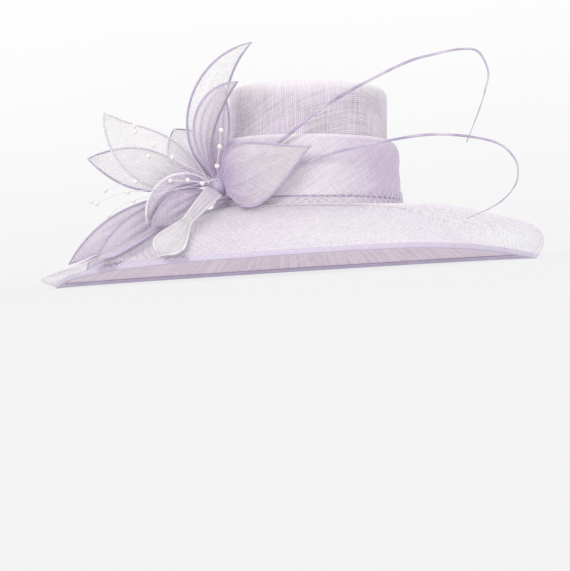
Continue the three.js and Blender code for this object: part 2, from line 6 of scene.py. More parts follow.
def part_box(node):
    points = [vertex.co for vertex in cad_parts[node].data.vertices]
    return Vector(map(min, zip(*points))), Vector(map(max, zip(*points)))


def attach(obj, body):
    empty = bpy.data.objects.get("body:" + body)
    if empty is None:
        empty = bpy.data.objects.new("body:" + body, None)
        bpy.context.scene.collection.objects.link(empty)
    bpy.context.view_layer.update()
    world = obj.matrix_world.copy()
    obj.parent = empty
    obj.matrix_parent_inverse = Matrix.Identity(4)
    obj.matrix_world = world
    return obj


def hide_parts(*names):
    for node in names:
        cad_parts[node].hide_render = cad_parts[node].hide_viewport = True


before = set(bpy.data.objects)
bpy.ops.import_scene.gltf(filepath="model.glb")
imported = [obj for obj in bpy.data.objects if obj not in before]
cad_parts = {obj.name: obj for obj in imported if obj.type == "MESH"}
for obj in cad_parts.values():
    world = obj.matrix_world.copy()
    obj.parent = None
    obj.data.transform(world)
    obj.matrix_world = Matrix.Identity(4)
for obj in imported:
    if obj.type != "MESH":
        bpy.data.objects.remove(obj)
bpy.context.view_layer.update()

# Lengths are in metres. The worn hat leans, because its brim is deeper on the wearer's right.
hat = {
    "crownWidth": 0.1686, "crownDepth": 0.201, "crownHeight": 0.124, "seatHeight": 0.071,
    "leanDegrees": 3.6, "gap": 0.0003,
}
rim = {
    "reachRight": 0.244, "reachLeft": 0.27, "reachFront": 0.25, "reachBack": 0.262,
    "frontLift": 0.019, "fullness": 0.19, "wall": 0.0016,
    # degrees from the left tip through the front, and the share of the lift there
    "lift": [(0, 0), (10, 0), (30, 0.46), (52, 0.82), (70, 0.96), (98, 1), (112, 0.97), (126, 0.8),
             (140, 0.48), (156, 0.12), (166, 0), (180, 0)],
}
binding = {
    "height": 0.0054, "width": 0.004, "sides": 288, "pucker": 0.00012, "lap": 0.006, "girth": 0.016,
    # shares of the width, in from the rim's outer edge, and of the height
    "outline": [(0.225, 0), (0.10125, 0.05), (0.05, 0.22), (0.05, 0.5), (0.05, 0.78), (0.10125, 0.95),
                (0.225, 1), (0.775, 1), (0.93, 0.94), (1, 0.62), (1, 0.3), (0.93, 0.06), (0.775, 0)],
}
leanTurn = Matrix.Rotation(radians(hat["leanDegrees"]), 4, "Y")
fullTurn = 2 * pi
crownReach = (hat["crownWidth"] + hat["crownDepth"]) / 4


def boxMiddle(node):
    low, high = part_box(node)
    return (low + high) / 2


# The rim's own middle is known, so the binding's box tells where the hat stands in the frame.
rimMiddle = Vector((rim["reachRight"] - rim["reachLeft"], rim["reachBack"] - rim["reachFront"], 0)) / 2
standing = boxMiddle("brim_binding") - rimMiddle
standing.z = 0


def wornPoint(point):
    return leanTurn @ point + standing


def toWorn(point):
    return leanTurn.inverted() @ point


def smoothValue(rows, place):
    # a smooth curve through rows of (place, value) that never leaves their range
    def slope(i):
        if i < 0 or i + 1 >= len(rows):
            return 0
        return (rows[i + 1][1] - rows[i][1]) / (rows[i + 1][0] - rows[i][0])

    def tangent(i):
        before, after = slope(i - 1), slope(i)
        return 2 * before * after / (before + after) if before * after > 0 else 0

    row = 0
    while row + 2 < len(rows) and place > rows[row + 1][0]:
        row += 1
    run = rows[row + 1][0] - rows[row][0]
    s = min(max((place - rows[row][0]) / run, 0), 1)
    start, end = rows[row][1], rows[row + 1][1]
    curve = run * s * (1 - s) * (tangent(row) * (1 - s) - tangent(row + 1) * s)
    return start + (end - start) * s * s * (3 - 2 * s) + curve


def rimRise(angle):
    forward = degrees(atan2(-sin(angle), -cos(angle)))
    return rim["frontLift"] * smoothValue(rim["lift"], forward) if forward > 0 else 0


def rimPoint(angle, inset, height):
    halfX = (rim["reachRight"] + rim["reachLeft"]) / 2 - inset
    halfY = (rim["reachBack"] + rim["reachFront"]) / 2 - inset
    across = Vector((halfX * cos(angle), halfY * sin(angle), rimRise(angle) + height))
    return rimMiddle + across


def crownPoint(angle, out, height):
    x = (hat["crownWidth"] / 2 + out) * cos(angle)
    y = (hat["crownDepth"] / 2 + out) * sin(angle)
    return Vector((x, y, height))


def brimPoint(angle, share):
    # share 0 is at the crown and 1 at the binding
    seat = leanTurn @ crownPoint(angle, hat["gap"], hat["seatHeight"])
    edge = rimPoint(angle, binding["width"] + hat["gap"], binding["height"] / 2)
    point = seat.lerp(edge, share)
    point.z += (seat.z - edge.z) * rim["fullness"] * share * (1 - share)
    return point


def brimNormal(angle, share):
    step = 0.01
    along = brimPoint(angle, share + step) - brimPoint(angle, share - step)
    around = brimPoint(angle + step, share) - brimPoint(angle - step, share)
    return along.cross(around).normalized()


def overBrim(angle, share, lift):
    return brimPoint(angle, share) + brimNormal(angle, share) * lift


# Mesh helpers


def switchTo(mode):
    bpy.ops.object.mode_set(mode=mode)


def selectNothing():
    if bpy.context.object and bpy.context.object.mode != "OBJECT":
        switchTo("OBJECT")
    bpy.ops.object.select_all(action="DESELECT")


def makeActive(obj):
    selectNothing()
    obj.select_set(True)
    bpy.context.view_layer.objects.active = obj


def applyModifier(obj, kind, **settings):
    makeActive(obj)
    modifier = obj.modifiers.new(kind.lower(), kind)
    for key, value in settings.items():
        setattr(modifier, key, value)
    bpy.ops.object.modifier_apply(modifier=modifier.name)


def addObject(name, data):
    obj = bpy.data.objects.new(name, data)
    bpy.context.scene.collection.objects.link(obj)
    return obj


def gridMesh(name, rows, loop=False, cloth=None, place=None):
    # rows of points, each closed on itself, become quads; loop closes the last row to the first
    mesh = bpy.data.meshes.new(name)
    count = len(rows[0])
    faces = []
    corners = []
    for i in range(len(rows) if loop else len(rows) - 1):
        for j in range(count):
            square = [(i, j), (i + 1, j), (i + 1, j + 1), (i, j + 1)]
            faces.append([(a % len(rows)) * count + b % count for a, b in square])
            corners += square
    mesh.from_pydata([point for row in rows for point in row], [], faces)
    for title, chart in (("cloth", cloth), ("place", place)):
        if chart:
            layer = mesh.uv_layers.new(name=title)
            for slot, (a, b) in enumerate(corners):
                layer.data[slot].uv = chart(a, b)
    mesh.validate()
    return addObject(name, mesh)


def pickParts(obj, kind, wanted):
    # leaves edit mode on, with only the wanted vertices, edges or faces selected
    switchTo("EDIT")
    bpy.ops.mesh.select_mode(type=kind)
    bpy.ops.mesh.select_all(action="DESELECT")
    switchTo("OBJECT")
    kinds = {"VERT": obj.data.vertices, "EDGE": obj.data.edges, "FACE": obj.data.polygons}
    for part in kinds[kind]:
        part.select = wanted(part)
    switchTo("EDIT")


def capEnds(obj, *loops):
    # closes open ends with a face across each given loop of vertices
    makeActive(obj)
    for loop in loops:
        pickParts(obj, "VERT", lambda vertex: vertex.index in loop)
        bpy.ops.mesh.edge_face_add()
    switchTo("OBJECT")


def facesOutward(obj):
    makeActive(obj)
    switchTo("EDIT")
    bpy.ops.mesh.select_all(action="SELECT")
    bpy.ops.mesh.remove_doubles(threshold=0.00001)
    bpy.ops.mesh.normals_make_consistent(inside=False)
    switchTo("OBJECT")


def makeRod(name, path, radii, sides):
    # a round rod along a path, with its own radius at each point
    curve = bpy.data.curves.new(name, "CURVE")
    curve.dimensions = "3D"
    curve.bevel_depth = 1
    curve.bevel_resolution = max(sides // 2 - 2, 0)
    curve.use_fill_caps = True
    spline = curve.splines.new("POLY")
    spline.points.add(len(path) - 1)
    for point, place, radius in zip(spline.points, path, radii):
        point.co = (*place, 1)
        point.radius = radius
    makeActive(addObject(name, curve))
    bpy.ops.object.convert(target="MESH")
    rod = bpy.context.object
    rod.name = name
    facesOutward(rod)
    return rod


def joinPieces(name, pieces):
    selectNothing()
    for piece in pieces:
        piece.select_set(True)
    bpy.context.view_layer.objects.active = pieces[0]
    bpy.ops.object.join()
    pieces[0].name = name
    return pieces[0]


def runAlong(points):
    # how far along the line each point lies
    run = [0]
    for a, b in zip(points, points[1:]):
        run.append(run[-1] + (b - a).length)
    return run


def smoothPath(points, steps):
    # a curve through given points, with a tangent at each from its neighbours
    path = []
    last = len(points) - 1
    for i in range(last):
        before = points[i - 1] if i else points[0] * 2 - points[1]
        after = points[i + 2] if i + 2 <= last else points[last] * 2 - points[last - 1]
        a, b = points[i], points[i + 1]
        for k in range(steps):
            s = k / steps
            path.append(0.5 * (2 * a + (b - before) * s + (2 * before - 5 * a + 4 * b - after) * s**2
                               + (3 * a - before - 3 * b + after) * s**3))
    path.append(points[-1])
    return path


def finishPiece(piece, materials, nodes, smooth=40):
    makeActive(piece)
    bpy.ops.object.shade_smooth_by_angle(angle=radians(smooth))
    piece.data.materials.clear()
    for material in materials:
        piece.data.materials.append(material)
    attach(piece, "root")
    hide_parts(*nodes)


# Shader helpers


class Value:
    # wraps an output socket, so that shader maths reads as an expression
    def __init__(self, finish, socket):
        self.finish = finish
        self.socket = socket

    def maths(self, operation, *others):
        return self.finish.node("Math", {"operation": operation}, dict(enumerate((self, *others))))

    def __add__(self, other):
        return self.maths("ADD", other)

    def __sub__(self, other):
        return self.maths("SUBTRACT", other)

    def __rsub__(self, other):
        return self.finish.node("Math", {"operation": "SUBTRACT"}, {0: other, 1: self})

    def __mul__(self, other):
        return self.maths("MULTIPLY", other)

    def __truediv__(self, other):
        return self.maths("DIVIDE", other)

    def __pow__(self, other):
        return self.maths("POWER", other)

    def sine(self):
        return self.maths("SINE")

    def size(self):
        return self.maths("ABSOLUTE")

    def limited(self, low=0.0, high=1.0):
        return self.maths("MAXIMUM", low).maths("MINIMUM", high)

    def spread(self, low, high):
        # 0 at low, 1 at high, held in between
        return ((self - low) / (high - low)).limited()

    __radd__ = __add__
    __rmul__ = __mul__


class Finish:
    # one material: a Principled shader and the nodes that feed it
    def __init__(self, name, **constants):
        self.material = bpy.data.materials.new(name)
        self.material.use_nodes = True
        self.nodes = self.material.node_tree.nodes
        self.links = self.material.node_tree.links
        self.shader = self.nodes["Principled BSDF"]
        for title, value in constants.items():
            self.feed(**{title: value})

    def feed(self, **inputs):
        for title, value in inputs.items():
            self.plug(self.shader.inputs[title.replace("_", " ")], value)
        return self.material

    def plug(self, socket, value):
        if isinstance(value, Value):
            self.links.new(value.socket, socket)
        elif isinstance(value, (tuple, list)) and socket.type == "RGBA":
            socket.default_value = (*value[:3], 1)
        else:
            socket.default_value = value

    def node(self, kind, settings=None, inputs=None, output=0):
        made = self.nodes.new("ShaderNode" + kind)
        for key, value in (settings or {}).items():
            if key == "stops":
                for stop, (place, colour) in zip(self.rampStops(made, len(value)), value):
                    stop.position = place
                    stop.color = (*colour, 1)
            else:
                setattr(made, key, value)
        for key, value in (inputs or {}).items():
            self.plug(made.inputs[key], value)
        return Value(self, made.outputs[output])

    def rampStops(self, made, count):
        stops = made.color_ramp.elements
        while len(stops) < count:
            stops.new(0.5)
        return list(stops)

    def objectPlace(self):
        return self.node("TexCoord", output="Object")

    def place(self, chart=None):
        # x, y and z in the piece's own space, or in one of its charts
        vector = self.node("UVMap", {"uv_map": chart}) if chart else self.objectPlace()
        split = self.node("SeparateXYZ", inputs={0: vector}).socket.node
        return [Value(self, output) for output in split.outputs]

    def vector(self, x=0.0, y=0.0, z=0.0):
        return self.node("CombineXYZ", inputs={0: x, 1: y, 2: z})

    def noise(self, vector, scale, detail=2.0, rough=0.5):
        inputs = {"Vector": vector, "Scale": scale, "Detail": detail, "Roughness": rough}
        return self.node("TexNoise", {"noise_dimensions": "3D"}, inputs)

    def cloud(self, scale, detail=2.0, rough=0.5):
        return self.noise(self.objectPlace(), scale, detail, rough)

    def mix(self, share, first, second):
        return self.node("Mix", {"data_type": "RGBA"}, {0: share, 6: first, 7: second}, output=2)

    def ramp(self, value, stops):
        return self.node("ValToRGB", {"stops": stops}, {0: value})

    def bump(self, height, depth, strength):
        inputs = {"Height": height, "Distance": depth, "Strength": strength}
        return self.node("Bump", inputs=inputs)


def strawThreads(finish, u, v, pitch, slub, crossing=1.0):
    # two crossing sets of uneven straw threads: returns how raised each point is, from 0 to 1
    wander = finish.noise(finish.vector(u, v), 1 / (12 * pitch), 1.0) * pitch * 2.4
    oneWay = ((u + wander) * (fullTurn / pitch)).sine() * 0.5 + 0.5
    otherWay = ((v - wander) * (fullTurn / pitch)).sine() * 0.5 + 0.5
    slubOne = finish.noise(finish.vector(u / pitch, v / (16 * pitch)), 0.7, 2.0, 0.6)
    slubOther = finish.noise(finish.vector(u / (16 * pitch), v / pitch, 7.0), 0.7, 2.0, 0.6)
    first = oneWay * (slubOne.spread(0.3, 0.68) * slub + (1 - slub)) * crossing
    second = otherWay * (slubOther.spread(0.3, 0.68) * slub + (1 - slub))
    return first.maths("MAXIMUM", second)


def slantThreads(finish, u, v, pitch, slub):
    # the same threads, turned 45 degrees
    half = 0.7071
    return strawThreads(finish, (u + v) * half, (u - v) * half, pitch, slub)


# Finishes
straw = {
    "crownLight": (0.97, 0.945, 0.965), "crownInsideShade": (0.50, 0.44, 0.51),
    "brimLight": (0.96, 0.93, 0.965), "brimDark": (0.74, 0.655, 0.785),
    "underLight": (0.88, 0.78, 0.85), "underDark": (0.60, 0.48, 0.60), "pitch": 0.0019,
    "finePitch": 0.0015, "arch": 0.026,
    # the crown's top edge, between these heights, is painted brighter: a painted highlight from the light
    # above
    "topHighlight": (0.181, 0.193),
    # the band's steep threads climb at 35 degrees to the vertical
    "steep": (0.819, 0.574),
    # the band turns lilac this far from its whitest place
    "white": 0.015, "lilac": 0.085,
}


def crownStraw():
    finish = Finish("crownStraw", Roughness=0.62, Sheen_Weight=0.25)
    u, v, _ = finish.place("cloth")
    # the straw is drawn over the block, so its level threads run in arches
    arch = (u * (2 / crownReach)).maths("COSINE") * straw["arch"]
    threads = strawThreads(finish, u, v - arch, straw["pitch"], 0.8, 0.8)
    drawn = finish.noise(finish.vector(u * 150, (v - arch) * 18), 1.0, 2.0, 0.6)
    x, _, z = finish.place()
    patches = finish.cloud(22)
    rise = z + x * tan(radians(hat["leanDegrees"]))
    # painted highlight: the crown's top edge is made brighter where the light from above falls
    top = rise.spread(*straw["topHighlight"])
    tone = (threads * 0.85 + drawn * 0.2 + patches * 0.3 - 0.24 + top * 0.25).limited()
    # painted shade: the weave's gaps are dark, standing in for the shaded inside of the crown seen through
    # them
    gaps = finish.mix(patches.spread(0.38, 0.6), straw["crownInsideShade"], (0.62, 0.50, 0.67))
    colour = finish.mix(tone.spread(0.12, 0.7), gaps, straw["crownLight"])
    bump = finish.bump(threads + drawn * 0.3, 0.0006, 0.7)
    return finish.feed(Base_Color=colour, Normal=bump)


def brimStraw():
    finish = Finish("brimStraw", Roughness=0.6, Sheen_Weight=0.25)
    x, y, _ = finish.place()
    threads = slantThreads(finish, x, y, straw["pitch"], 0.7)
    patches = finish.cloud(11)
    # painted shadow: the brim is darker towards the left, under the flower
    leftward = x.spread(0.02, -0.26)
    tone = (threads * 0.6 + patches * 0.5 - leftward * 0.26).limited()
    colour = finish.mix(tone.spread(0.2, 0.68), straw["brimDark"], straw["brimLight"])
    return finish.feed(Base_Color=colour, Normal=finish.bump(threads, 0.0005, 0.6))


def underStraw():
    # the underside shows the straw stretched towards the rim in streaks, in darker colours than the top as
    # painted shade
    finish = Finish("underStraw", Roughness=0.68, Sheen_Weight=0.2)
    x, y, _ = finish.place()
    turn = y.maths("ARCTAN2", x)
    reach = (x * x + y * y) ** 0.5
    streaks = finish.noise(finish.vector(turn * 46, reach * 7), 1.6, 3.0, 0.6)
    threads = slantThreads(finish, x, y, straw["pitch"], 0.7)
    tone = (threads * 0.4 + streaks * 0.6).limited()
    colour = finish.mix(tone.spread(0.3, 0.62), straw["underDark"], straw["underLight"])
    return finish.feed(Base_Color=colour, Normal=finish.bump(threads, 0.0005, 0.6))


def bindingSatin():
    # a folded strip with a fine slanting rib, with painted shade on the inner and under sides
    finish = Finish("bindingSatin", Roughness=0.5, Sheen_Weight=0.2)
    u, v, _ = finish.place("cloth")
    rib = ((u + v * 1.2) * (fullTurn / 0.0011)).sine() * 0.5 + 0.5
    wear = finish.noise(finish.vector(u * 60, v * 200), 1.0, 2.0)
    around = finish.place("place")[0]
    # painted light: the outer face and top are lighter, and the inner and under sides get painted shade
    top = around.spread(0.02, 0.1) * around.spread(0.56, 0.5)
    shade = finish.mix(top, (0.34, 0.27, 0.44), (0.72, 0.64, 0.82))
    colour = finish.mix((rib * 0.2 + wear * 0.35).limited(), shade, (0.82, 0.75, 0.89))
    return finish.feed(Base_Color=colour, Normal=finish.bump(rib + wear, 0.0002, 0.5))


def bandStraw():
    # the straw is cut on the slant: fine threads climb to the right and steeper ones cross them
    finish = Finish("bandStraw", Roughness=0.58, Sheen_Weight=0.3)
    u, v, _ = finish.place("cloth")
    height = finish.place("place")[1]
    x = finish.place()[0]
    climb = radians(30)
    fine = v * cos(climb) - u * sin(climb)
    steep = u * straw["steep"][0] + v * straw["steep"][1]
    threads = strawThreads(finish, fine, steep, straw["pitch"] * 0.9, 0.8)
    # painted highlight: long bright streaks along the fine threads
    streaks = finish.noise(finish.vector(fine * 330, steep * 16), 1.0, 2.0, 0.6)
    patches = finish.cloud(16)
    # lilac on the right and above, whiter in the middle of the front, and a painted highlight along the fold
    # at the top
    side = (x - straw["white"]) * (1 / straw["lilac"])
    lilac = (side * side + height * 0.4 + patches * 0.5).spread(0.55, 1.3)
    # painted highlight along the fold at the top of the band
    fold = height.spread(0.93, 0.985)
    tone = (threads * 0.65 + streaks * 0.45 + fold * 0.3 - lilac * 0.06).limited()
    gaps = finish.mix(lilac, (0.68, 0.61, 0.73), (0.60, 0.47, 0.68))
    light = finish.mix(lilac * (1 - fold), (0.98, 0.955, 0.975), (0.88, 0.79, 0.91))
    # painted shade: a dark line runs round just over the foot, in the tuck
    tuck = (height - band["tuckRise"]).size().spread(0.022, 0.006)
    cloth = finish.mix(tone.spread(0.24, 0.78), gaps, light)
    colour = finish.mix(tuck * 0.75, cloth, (0.33, 0.23, 0.42))
    return finish.feed(Base_Color=colour, Normal=finish.bump(threads, 0.0006, 0.7))


def petalStraw(name, centre, outer, cover):
    # sheer straw: denser and darker at the root, thin in the middle of the blade
    finish = Finish(name, Roughness=0.55, Sheen_Weight=0.25)
    u, v, _ = finish.place("cloth")
    threads = slantThreads(finish, u, v, straw["finePitch"], 0.6)
    side, along, _ = finish.place("place")
    fan = finish.noise(finish.vector(side * 9, along * 1.2), 1.7, 3.0, 0.65).spread(0.3, 0.7)
    root = along.spread(0.5, 0.02)
    rib = side.size().spread(0.06, 0.0)
    tone = (threads * 0.4 + fan * 0.26 + (1 - root) * 0.62 - rib * 0.12 - 0.28).limited()
    colour = finish.mix(tone.spread(0.0, 0.6), centre, outer)
    dense = (threads * 0.6 + fan * 0.14 + root * 0.42 + rib * 0.2 + cover - 0.44).limited(0.08, 1.0)
    bump = finish.bump(threads + fan * 1.5, 0.0005, 0.7)
    return finish.feed(Base_Color=colour, Alpha=dense, Normal=bump)


def pipingCloth(name, light, dark):
    finish = Finish(name, Roughness=0.5, Sheen_Weight=0.25)
    u, v, _ = finish.place("cloth")
    twill = ((u * 3 + v) * (fullTurn / 0.0013)).sine() * 0.5 + 0.5
    wear = finish.cloud(160)
    colour = finish.mix((twill * 0.4 + wear * 0.6).limited(), dark, light)
    return finish.feed(Base_Color=colour, Normal=finish.bump(twill, 0.0002, 0.5))


def netThread():
    finish = Finish("netThread", Roughness=0.35, Coat_Weight=0.3)
    glint = finish.cloud(420, 1.0)
    colour = finish.mix(glint.spread(0.35, 0.65), (0.80, 0.77, 0.84), (1.0, 0.99, 1.0))
    return finish.feed(Base_Color=colour, Roughness=glint * 0.3 + 0.2)


def quillHorn():
    finish = Finish("quillHorn", Roughness=0.42, Coat_Weight=0.15)
    x, y, z = finish.place()
    grain = finish.noise(finish.vector(x * 60, y * 900, z * 60), 1.0, 3.0, 0.6)
    tone = (grain * 0.6 + finish.cloud(24) * 0.4).spread(0.32, 0.62)
    colour = finish.mix(tone, (0.34, 0.28, 0.45), (0.74, 0.68, 0.80))
    bump = finish.bump(grain, 0.0002, 0.5)
    return finish.feed(Base_Color=colour, Roughness=grain * 0.25 + 0.3, Normal=bump)


def pearlShell():
    finish = Finish("pearlShell", Roughness=0.16, Coat_Weight=0.6, Coat_Roughness=0.08)
    cloud = finish.cloud(210, 3.0, 0.6)
    lustre = [(0.3, (0.90, 0.85, 0.80)), (0.5, (0.97, 0.95, 0.91)), (0.7, (0.93, 0.92, 0.96))]
    colour = finish.ramp(cloud, lustre)
    return finish.feed(Base_Color=colour, Roughness=cloud * 0.14 + 0.1)


def stamenWire():
    finish = Finish("stamenWire", Roughness=0.4)
    twist = finish.cloud(900, 1.0)
    colour = finish.mix(twist, (0.78, 0.74, 0.80), (0.97, 0.95, 0.96))
    return finish.feed(Base_Color=colour, Roughness=twist * 0.3 + 0.25)


print("making the crown")
crown = {
    "wall": 0.0016, "sides": 128, "sideSteps": 8, "shoulder": 0.009, "shoulderSteps": 6,
    "doming": 0.004, "topSteps": 6,
    # where the straw's arches are highest: degrees round, and height over the seat
    "archTurn": 300, "archRise": 0.04,
}


def crownProfile():
    # rows of (how far in from the side, height), from the foot up to the middle of the top
    top = hat["seatHeight"] + hat["crownHeight"]
    rows = []
    for i in range(crown["sideSteps"]):
        share = i / crown["sideSteps"]
        rows.append((0, hat["seatHeight"] + share * (hat["crownHeight"] - crown["shoulder"])))
    for i in range(crown["shoulderSteps"] + 1):
        turn = i / crown["shoulderSteps"] * pi / 2
        inward = crown["shoulder"] * (1 - cos(turn))
        rows.append((inward, top - crown["shoulder"] * (1 - sin(turn))))
    half = hat["crownWidth"] / 2
    for i in range(1, crown["topSteps"] + 1):
        share = i / (crown["topSteps"] + 1)
        inward = crown["shoulder"] + (half - crown["shoulder"]) * share
        rows.append((inward, top + crown["doming"] * (1 - (1 - share) ** 2)))
    return rows


def makeCrown():
    rows = crownProfile()
    halfX, halfY = hat["crownWidth"] / 2, hat["crownDepth"] / 2
    selectNothing()
    bpy.ops.mesh.primitive_circle_add(vertices=crown["sides"], radius=halfX, location=(0, 0, rows[0][1]))
    piece = bpy.context.object
    piece.name = "crown_straw"
    switchTo("EDIT")
    bpy.ops.mesh.select_all(action="SELECT")
    bpy.ops.transform.resize(value=(1, halfY / halfX, 1), center_override=(0, 0, rows[0][1]))
    for (fromIn, fromHeight), (toIn, toHeight) in zip(rows, rows[1:]):
        move = {"value": (0, 0, toHeight - fromHeight)}
        bpy.ops.mesh.extrude_region_move(TRANSFORM_OT_translate=move)
        scale = ((halfX - toIn) / (halfX - fromIn), (halfY - toIn) / (halfY - fromIn), 1)
        bpy.ops.transform.resize(value=scale, center_override=(0, 0, toHeight))
    bpy.ops.mesh.extrude_region_move(TRANSFORM_OT_translate={"value": (0, 0, 0)})
    bpy.ops.mesh.merge(type="CENTER")
    switchTo("OBJECT")
    piece.data.transform(Matrix.Translation(piece.location))
    piece.location = (0, 0, 0)
    facesOutward(piece)
    chartCrown(piece)
    applyModifier(piece, "SOLIDIFY", thickness=crown["wall"], offset=-1)
    piece.data.transform(Matrix.Translation(standing) @ leanTurn)
    finishPiece(piece, [crownStraw()], ["crown"])


def chartCrown(piece):
    # the side is charted round and up, the top as seen from above
    while piece.data.uv_layers:
        piece.data.uv_layers.remove(piece.data.uv_layers[0])
    chart = piece.data.uv_layers.new(name="cloth")
    start, foot = radians(crown["archTurn"]), hat["seatHeight"]
    for face in piece.data.polygons:
        middle = atan2(face.center.y, face.center.x)
        for corner in face.loop_indices:
            place = piece.data.vertices[piece.data.loops[corner].vertex_index].co
            if face.normal.z > 0.7:
                chart.data[corner].uv = (place.x, place.y)
                continue
            turn = atan2(place.y, place.x)
            turn += fullTurn * round((middle - turn) / fullTurn)
            chart.data[corner].uv = ((turn - start) * crownReach, place.z - foot - crown["archRise"])


makeCrown()

print("making the brim")
brim = {"sides": 256, "rings": 16, "wave": 0.0007, "waves": 7}


def makeBrim():
    rows = []
    level = rim["wall"] / 2
    for i in range(brim["sides"]):
        angle = i / brim["sides"] * fullTurn
        upper, lower = [], []
        for r in range(brim["rings"] + 1):
            share = r / brim["rings"]
            wave = brim["wave"] * sin(brim["waves"] * angle + 4 * share) * sin(pi * share)
            point = brimPoint(angle, share)
            away = Vector((0, 0, 1)) if r in (0, brim["rings"]) else brimNormal(angle, share)
            upper.append(point + away * (wave + level) + standing)
            lower.insert(0, point + away * (wave - level) + standing)
        rows.append(upper + lower)
    piece = gridMesh("brim_straw", rows, loop=True)
    facesOutward(piece)
    piece.data.materials.append(None)
    finishPiece(piece, [brimStraw(), underStraw()], ["brim"])
    # faces that point down take the darker underside finish: painted shade
    for face in piece.data.polygons:
        face.material_index = 1 if face.normal.z < -0.3 else 0


makeBrim()

print("making the edge binding")


def makeBinding():
    rows = []
    for i in range(binding["sides"]):
        angle = i / binding["sides"] * fullTurn
        pucker = binding["pucker"] * sin(angle * 97)
        row = []
        for inset, height in binding["outline"]:
            inset = inset * binding["width"] + (pucker if 0.2 < height < 0.9 else 0)
            row.append(rimPoint(angle, inset, height * binding["height"]))
        # its inner edge runs on under the brim
        run = (brimPoint(angle, 1) - brimPoint(angle, 0)).length
        end = 1 - binding["lap"] / run
        lap = [overBrim(angle, share, -(rim["wall"] / 2 + depth))
               for share, depth in ((1, 0.0002), (end, 0.0002), (end, 0.0008), (1, 0.0009))]
        row[9:12] = [row[9], *lap, row[11]]
        rows.append([point + standing for point in row])
    count = len(rows[0])
    reach = (rim["reachRight"] + rim["reachBack"]) / 2

    def cloth(i, j):
        return i / binding["sides"] * fullTurn * reach, j / count * binding["girth"]

    def place(i, j):
        return j / count, i / binding["sides"]

    piece = gridMesh("brim_binding_strip", rows, loop=True, cloth=cloth, place=place)
    facesOutward(piece)
    finishPiece(piece, [bindingSatin()], ["brim_binding"], smooth=50)


makeBinding()

print("making the hat band")
band = {
    "stand": 0.0132, "height": 0.069, "drop": 0.009, "wall": 0.0012, "foot": 0.017,
    "tuckRise": 0.12, "tuckDepth": 0.0016, "tuckWidth": 0.03, "inside": 0.0008, "tuck": 0.015,
    "ripple": 0.0008, "ripples": 9, "fold": 0.0016, "sides": 240, "steps": 6, "cut": (0.118, 0.66),
}


def bandFootHeight(angle, out):
    seat = crownPoint(angle, 0, hat["seatHeight"])
    edge = toWorn(rimPoint(angle, 0, 0))
    run = hypot(edge.x - seat.x, edge.y - seat.y)
    return toWorn(brimPoint(angle, out / run)).z + rim["wall"] / 2 + 2 * hat["gap"]


def bandPlace(angle, out, rise):
    # slanting folds fade out towards the foot and the top
    free = sin(pi * min(max(rise, 0), 1)) if out > 0.005 else 0
    slant = angle * band["ripples"] + rise * 6
    ripple = band["ripple"] * sin(slant)
    crease = band["fold"] * max(0, sin(angle * 3 + rise * 5 - 1)) ** 6
    crease += band["tuckDepth"] * exp(-((rise - band["tuckRise"]) / band["tuckWidth"]) ** 2)
    foot = bandFootHeight(angle, out)
    dip = band["drop"] * (1 + sin(angle)) ** 2 * 0.4
    height = foot + (hat["seatHeight"] + band["height"] - dip - foot) * rise
    return wornPoint(crownPoint(angle, out + free * (ripple - crease), height))


def makeBand():
    stand, inside = band["stand"], hat["gap"] + band["inside"]
    # out from the crown, and rise from the foot to the top: up the face, over the fold and down inside
    line = [(band["foot"], 0), (stand + 0.0012, 0.15), (stand - 0.0002, 0.42), (stand + 0.0002, 0.72),
            (stand * 0.86, 0.9), (stand * 0.5, 0.985), (inside + 0.0012, 0.968), (inside, 0.9),
            (inside, 0.93 - band["tuck"] / band["height"])]
    guide = smoothPath([Vector((out, rise, 0)) for out, rise in line], band["steps"])
    rows = [[bandPlace(i / band["sides"] * fullTurn, max(p.x, hat["gap"] + 0.0007), p.y)
             for i in range(band["sides"])] for p in guide]
    run = runAlong([row[0] for row in rows])

    def cloth(i, j):
        return j / band["sides"] * fullTurn * (crownReach + stand), run[i]

    def place(i, j):
        return j / band["sides"], min(guide[i].y, 1)

    piece = gridMesh("hat_band_straw", rows, cloth=cloth, place=place)
    facesOutward(piece)
    applyModifier(piece, "SOLIDIFY", thickness=band["wall"], offset=0)
    finishPiece(piece, [bandStraw()], ["hat_band"])


makeBand()

print("making the flower")
flower = {
    "turn": 216, "rise": 0.017, "knotWidth": 0.023, "knotDepth": 0.04, "reach": 0.16,
    "cloth": 0.0007, "piping": 0.0011, "pipingShare": 0.45,
    # the piped edge: how far in and how thick, in pipings
    "bead": [(0.03, 0.3), (0.3, 0.72), (1, 1), (1.7, 0.72)], "gather": 0.0012, "gathers": 11,
    "tip": 0.0007, "clear": 0.0032, "steps": 42, "columns": 16, "cutShare": 0.87,
}
